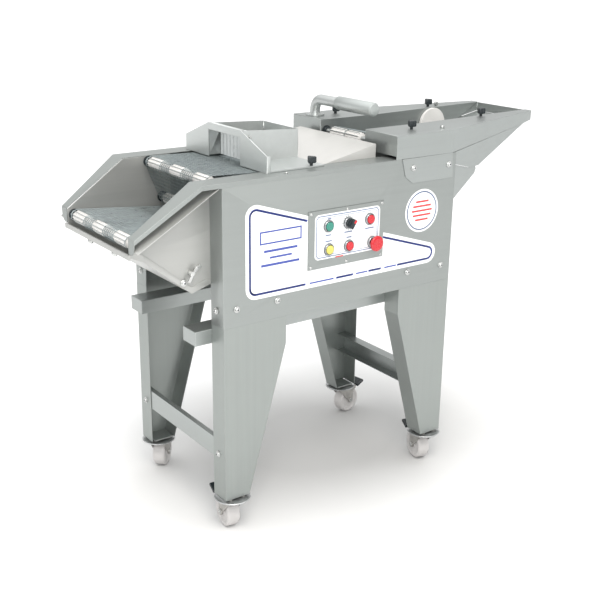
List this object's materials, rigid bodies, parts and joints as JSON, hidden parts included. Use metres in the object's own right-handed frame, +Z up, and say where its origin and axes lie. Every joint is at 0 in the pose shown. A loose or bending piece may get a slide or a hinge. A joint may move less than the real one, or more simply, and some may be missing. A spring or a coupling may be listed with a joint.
{
  "type": "breading machine",
  "caption": "Stainless steel crumb coating conveyor on braked casters, with infeed belt, hood with strip curtain, stepped mesh outfeed belts over a crumb chute, and push button panel.",
  "frame": {"origin": "on the floor, at the middle of the whole machine's bounding box", "axes": "+X along the machine from the outfeed nose towards the infeed end, +Y to the side away from the control panel, +Z up"},
  "size_m": [1.32, 0.5174, 1.024],
  "materials": {
    "steel_sheet": "fine brushed stainless steel",
    "bright_steel": "polished stainless steel",
    "nylon": "moulded white nylon",
    "wire_mesh": "woven stainless wire",
    "strip": "flexible grey plastic strip",
    "zinc": "bright zinc plate",
    "chain_steel": "oiled dark steel",
    "black_plastic": "moulded black plastic",
    "red_plastic": "gloss",
    "green_plastic": "gloss",
    "yellow_plastic": "gloss",
    "label": "printed film"
  },
  "bodies": {
    "chassis": {"side_panel_near": "steel_sheet", "side_panel_far": "steel_sheet", "rear_panel": "steel_sheet", "crumb_tray": "steel_sheet", "leg_front_near": "steel_sheet", "leg_front_far": "steel_sheet", "leg_rear_near": "steel_sheet", "leg_rear_far": "steel_sheet", "underframe": "steel_sheet", "outfeed_chute": "steel_sheet", "slide_plate": "bright_steel", "infeed_decks": "steel_sheet", "infeed_chute": "steel_sheet", "control_plate": "steel_sheet", "side_labels": "label", "switch_bezels": "zinc", "upper_belt": "wire_mesh", "lower_belt": "wire_mesh", "infeed_belt": "wire_mesh", "gearmotor": "zinc", "drive_chains": "chain_steel", "roller_bearings": "chain_steel", "body_bolts": "bright_steel", "cable_gland": "black_plastic", "caster_plates": "zinc"},
    "hood": {"hood": "steel_sheet"},
    "strip_curtain": {"strip_curtain": "strip"},
    "upper_front_roller": {"upper_front_roller": "nylon"},
    "upper_rear_roller": {"upper_rear_roller": "nylon"},
    "idler_roller": {"idler_roller": "nylon"},
    "lower_front_roller": {"lower_front_roller": "nylon"},
    "lower_rear_roller": {"lower_rear_roller": "nylon"},
    "infeed_front_roller": {"infeed_front_roller": "nylon"},
    "infeed_rear_roller": {"infeed_rear_roller": "nylon"},
    "press_arm": {"press_arm": "steel_sheet"},
    "press_roller": {"press_roller": "steel_sheet"},
    "start_button": {"start_button": "green_plastic"},
    "stop_button": {"stop_button": "red_plastic"},
    "feed_button": {"feed_button": "red_plastic"},
    "reset_button": {"reset_button": "yellow_plastic"},
    "emergency_stop": {"emergency_stop": "red_plastic"},
    "selector_knob": {"selector_knob": "black_plastic"},
    "chute_latch": {"chute_latch": "bright_steel"},
    "hood_knob": {"hood_knob": "black_plastic"},
    "deck_knob_near_front": {"deck_knob_near_front": "black_plastic"},
    "deck_knob_far_front": {"deck_knob_far_front": "black_plastic"},
    "deck_knob_near_rear": {"deck_knob_near_rear": "black_plastic"},
    "deck_knob_far_rear": {"deck_knob_far_rear": "black_plastic"},
    "fork_near_front": {"fork_near_front": "zinc"},
    "wheel_near_front": {"wheel_near_front": "nylon"},
    "pedal_near_front": {"pedal_near_front": "black_plastic"},
    "fork_far_front": {"fork_far_front": "zinc"},
    "wheel_far_front": {"wheel_far_front": "nylon"},
    "pedal_far_front": {"pedal_far_front": "black_plastic"},
    "fork_near_rear": {"fork_near_rear": "zinc"},
    "wheel_near_rear": {"wheel_near_rear": "nylon"},
    "pedal_near_rear": {"pedal_near_rear": "black_plastic"},
    "fork_far_rear": {"fork_far_rear": "zinc"},
    "wheel_far_rear": {"wheel_far_rear": "nylon"},
    "pedal_far_rear": {"pedal_far_rear": "black_plastic"}
  },
  "joints": [
    {"name": "hood_lift", "type": "slide", "parent": "chassis", "child": "hood", "axis": [0, 0, 1], "range_m": [0, 0.12]},
    {"name": "curtain_swing", "type": "hinge", "parent": "hood", "child": "strip_curtain", "pos_m": [-0.272, -0.01168, 0.972], "axis": [0, 1, 0], "range_deg": [-30, 30]},
    {"name": "upper_front_spin", "type": "hinge", "parent": "chassis", "child": "upper_front_roller", "pos_m": [-0.432, -0.01168, 0.885], "axis": [0, 1, 0], "continuous": true},
    {"name": "upper_rear_spin", "type": "hinge", "parent": "chassis", "child": "upper_rear_roller", "pos_m": [-0.16, -0.01168, 0.876], "axis": [0, 1, 0], "continuous": true},
    {"name": "idler_spin", "type": "hinge", "parent": "chassis", "child": "idler_roller", "pos_m": [-0.396, -0.01168, 0.791], "axis": [0, 1, 0], "continuous": true},
    {"name": "lower_front_spin", "type": "hinge", "parent": "chassis", "child": "lower_front_roller", "pos_m": [-0.638, -0.01168, 0.776], "axis": [0, 1, 0], "continuous": true},
    {"name": "lower_rear_spin", "type": "hinge", "parent": "chassis", "child": "lower_rear_roller", "pos_m": [-0.12, -0.01168, 0.726], "axis": [0, 1, 0], "continuous": true},
    {"name": "infeed_front_spin", "type": "hinge", "parent": "chassis", "child": "infeed_front_roller", "pos_m": [0.078, -0.01168, 0.929], "axis": [0, 1, 0], "continuous": true},
    {"name": "infeed_rear_spin", "type": "hinge", "parent": "chassis", "child": "infeed_rear_roller", "pos_m": [0.35, -0.01168, 0.869], "axis": [0, 1, 0], "continuous": true},
    {"name": "press_arm_swivel", "type": "hinge", "parent": "chassis", "child": "press_arm", "pos_m": [0.092, 0.15332, 0.96], "axis": [0, 0, 1], "range_deg": [-80, 80]},
    {"name": "press_roller_spin", "type": "hinge", "parent": "press_arm", "child": "press_roller", "pos_m": [0.092, -0.01168, 1.006], "axis": [0, 1, 0], "continuous": true},
    {"name": "start_press", "type": "slide", "parent": "chassis", "child": "start_button", "axis": [0, 1, 0], "range_m": [0, 0.004], "stiffness_N_per_m": 300},
    {"name": "stop_press", "type": "slide", "parent": "chassis", "child": "stop_button", "axis": [0, 1, 0], "range_m": [0, 0.004], "stiffness_N_per_m": 300},
    {"name": "feed_press", "type": "slide", "parent": "chassis", "child": "feed_button", "axis": [0, 1, 0], "range_m": [0, 0.004], "stiffness_N_per_m": 300},
    {"name": "reset_press", "type": "slide", "parent": "chassis", "child": "reset_button", "axis": [0, 1, 0], "range_m": [0, 0.004], "stiffness_N_per_m": 300},
    {"name": "emergency_press", "type": "slide", "parent": "chassis", "child": "emergency_stop", "axis": [0, 1, 0], "range_m": [0, 0.005], "stiffness_N_per_m": 500},
    {"name": "selector_turn", "type": "hinge", "parent": "chassis", "child": "selector_knob", "pos_m": [-0.09, -0.23168, 0.761], "axis": [0, 1, 0], "range_deg": [-45, 45]},
    {"name": "latch_turn", "type": "hinge", "parent": "chassis", "child": "chute_latch", "pos_m": [-0.506, -0.18168, 0.69], "axis": [0, 1, 0], "range_deg": [-30, 30]},
    {"name": "hood_knob_turn", "type": "hinge", "parent": "hood", "child": "hood_knob", "pos_m": [-0.175, -0.19168, 0.904], "axis": [0, 0, 1], "continuous": true},
    {"name": "deck_knob_near_front_turn", "type": "hinge", "parent": "chassis", "child": "deck_knob_near_front", "pos_m": [0.16, -0.17168, 0.96], "axis": [0, 0, 1], "continuous": true},
    {"name": "deck_knob_far_front_turn", "type": "hinge", "parent": "chassis", "child": "deck_knob_far_front", "pos_m": [0.16, 0.14832, 0.96], "axis": [0, 0, 1], "continuous": true},
    {"name": "deck_knob_near_rear_turn", "type": "hinge", "parent": "chassis", "child": "deck_knob_near_rear", "pos_m": [0.465, -0.11968, 0.964], "axis": [0, 0, 1], "continuous": true},
    {"name": "deck_knob_far_rear_turn", "type": "hinge", "parent": "chassis", "child": "deck_knob_far_rear", "pos_m": [0.465, 0.09632, 0.964], "axis": [0, 0, 1], "continuous": true},
    {"name": "swivel_near_front", "type": "hinge", "parent": "chassis", "child": "fork_near_front", "pos_m": [-0.415, -0.20568, 0.09], "axis": [0, 0, 1], "continuous": true},
    {"name": "roll_near_front", "type": "hinge", "parent": "fork_near_front", "child": "wheel_near_front", "pos_m": [-0.41159, -0.17789, 0.04], "axis": [-0.9925, 0.1219, 0], "continuous": true},
    {"name": "brake_near_front", "type": "hinge", "parent": "fork_near_front", "child": "pedal_near_front", "pos_m": [-0.40939, -0.16003, 0.082], "axis": [-0.9925, 0.1219, 0], "range_deg": [0, 14]},
    {"name": "swivel_far_front", "type": "hinge", "parent": "chassis", "child": "fork_far_front", "pos_m": [-0.415, 0.18232, 0.09], "axis": [0, 0, 1], "continuous": true},
    {"name": "roll_far_front", "type": "hinge", "parent": "fork_far_front", "child": "wheel_far_front", "pos_m": [-0.3952, 0.20211, 0.04], "axis": [-0.7071, 0.7071, 0], "continuous": true},
    {"name": "brake_far_front", "type": "hinge", "parent": "fork_far_front", "child": "pedal_far_front", "pos_m": [-0.38247, 0.21484, 0.082], "axis": [-0.7071, 0.7071, 0], "range_deg": [0, 14]},
    {"name": "swivel_near_rear", "type": "hinge", "parent": "chassis", "child": "fork_near_rear", "pos_m": [0.232, -0.20568, 0.09], "axis": [0, 0, 1], "continuous": true},
    {"name": "roll_near_rear", "type": "hinge", "parent": "fork_near_rear", "child": "wheel_near_rear", "pos_m": [0.23877, -0.17852, 0.04], "axis": [-0.9703, 0.2419, 0], "continuous": true},
    {"name": "brake_near_rear", "type": "hinge", "parent": "fork_near_rear", "child": "pedal_near_rear", "pos_m": [0.24313, -0.16105, 0.082], "axis": [-0.9703, 0.2419, 0], "range_deg": [0, 14]},
    {"name": "swivel_far_rear", "type": "hinge", "parent": "chassis", "child": "fork_far_rear", "pos_m": [0.232, 0.18232, 0.09], "axis": [0, 0, 1], "continuous": true},
    {"name": "roll_far_rear", "type": "hinge", "parent": "fork_far_rear", "child": "wheel_far_rear", "pos_m": [0.25966, 0.1867, 0.04], "axis": [-0.1564, 0.9877, 0], "continuous": true},
    {"name": "brake_far_rear", "type": "hinge", "parent": "fork_far_rear", "child": "pedal_far_rear", "pos_m": [0.27743, 0.18951, 0.082], "axis": [-0.1564, 0.9877, 0], "range_deg": [0, 14]}
  ],
  "couplings": [
    {"joint": "upper_rear_spin", "follows": "upper_front_spin", "ratio": 1},
    {"joint": "idler_spin", "follows": "upper_front_spin", "ratio": 1.1538},
    {"joint": "lower_front_spin", "follows": "upper_front_spin", "ratio": 1},
    {"joint": "lower_rear_spin", "follows": "upper_front_spin", "ratio": 1},
    {"joint": "infeed_front_spin", "follows": "upper_front_spin", "ratio": 1},
    {"joint": "infeed_rear_spin", "follows": "upper_front_spin", "ratio": 1.25}
  ]
}
